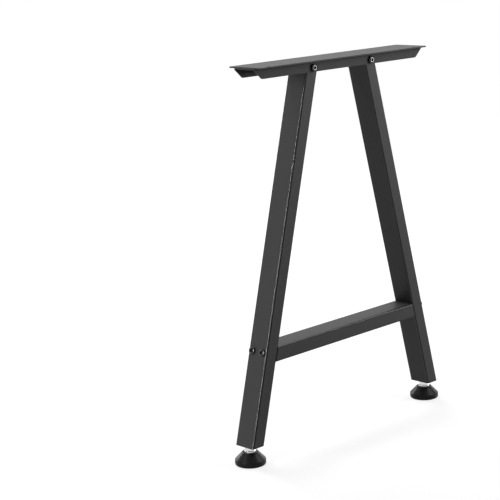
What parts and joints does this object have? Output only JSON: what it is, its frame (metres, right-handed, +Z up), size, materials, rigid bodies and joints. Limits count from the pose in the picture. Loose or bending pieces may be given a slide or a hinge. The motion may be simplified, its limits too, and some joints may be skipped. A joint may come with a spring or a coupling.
{
  "type": "trestle table leg",
  "caption": "Grey A-shaped steel trestle leg with a flat top plate, a bolted crossbar and levelling feet.",
  "frame": {"origin": "on the floor, half way between the two feet and in the middle of the depth", "axes": "+X along the top plate towards the right foot, +Y towards the back, +Z up"},
  "size_m": [0.5526, 0.074, 0.711],
  "materials": {
    "powder_coat": "fine matte grey powder coat",
    "black_screw": "black oxide, satin",
    "steel_insert": "plain steel",
    "bright_chrome": "bright plated",
    "black_plastic": "smooth moulded, semi-gloss"
  },
  "bodies": {
    "frame": {"top_plate": "powder_coat", "top_channel": "powder_coat", "crossbar_tube": "powder_coat", "left_leg_tube": "powder_coat", "left_crossbar_end_plate": "powder_coat", "left_leg_end_plate": "powder_coat", "left_foot_nut": "steel_insert", "left_front_top_screw": "black_screw", "left_front_top_nut": "steel_insert", "left_front_crossbar_screw": "black_screw", "left_back_top_screw": "black_screw", "left_back_top_nut": "steel_insert", "left_back_crossbar_screw": "black_screw", "right_leg_tube": "powder_coat", "right_crossbar_end_plate": "powder_coat", "right_leg_end_plate": "powder_coat", "right_foot_nut": "steel_insert", "right_front_top_screw": "black_screw", "right_front_top_nut": "steel_insert", "right_front_crossbar_screw": "black_screw", "right_back_top_screw": "black_screw", "right_back_top_nut": "steel_insert", "right_back_crossbar_screw": "black_screw"},
    "left_pad": {"left_foot_pad": "black_plastic"},
    "left_stud": {"left_foot_stud": "bright_chrome"},
    "right_pad": {"right_foot_pad": "black_plastic"},
    "right_stud": {"right_foot_stud": "bright_chrome"}
  },
  "joints": [
    {"name": "left_foot_height", "type": "slide", "parent": "frame", "child": "left_pad", "axis": [0, 0, -1], "range_m": [0, 0.012]},
    {"name": "left_stud_turn", "type": "hinge", "parent": "left_pad", "child": "left_stud", "pos_m": [-0.248, 0, 0.03], "axis": [0, 0, -1], "range_deg": [0, 2880]},
    {"name": "right_foot_height", "type": "slide", "parent": "frame", "child": "right_pad", "axis": [0, 0, -1], "range_m": [0, 0.012]},
    {"name": "right_stud_turn", "type": "hinge", "parent": "right_pad", "child": "right_stud", "pos_m": [0.248, 0, 0.03], "axis": [0, 0, -1], "range_deg": [0, 2880]}
  ],
  "couplings": [
    {"joint": "left_stud_turn", "follows": "left_foot_height", "rad_per_m": 4188.8},
    {"joint": "right_stud_turn", "follows": "right_foot_height", "rad_per_m": 4188.8}
  ]
}
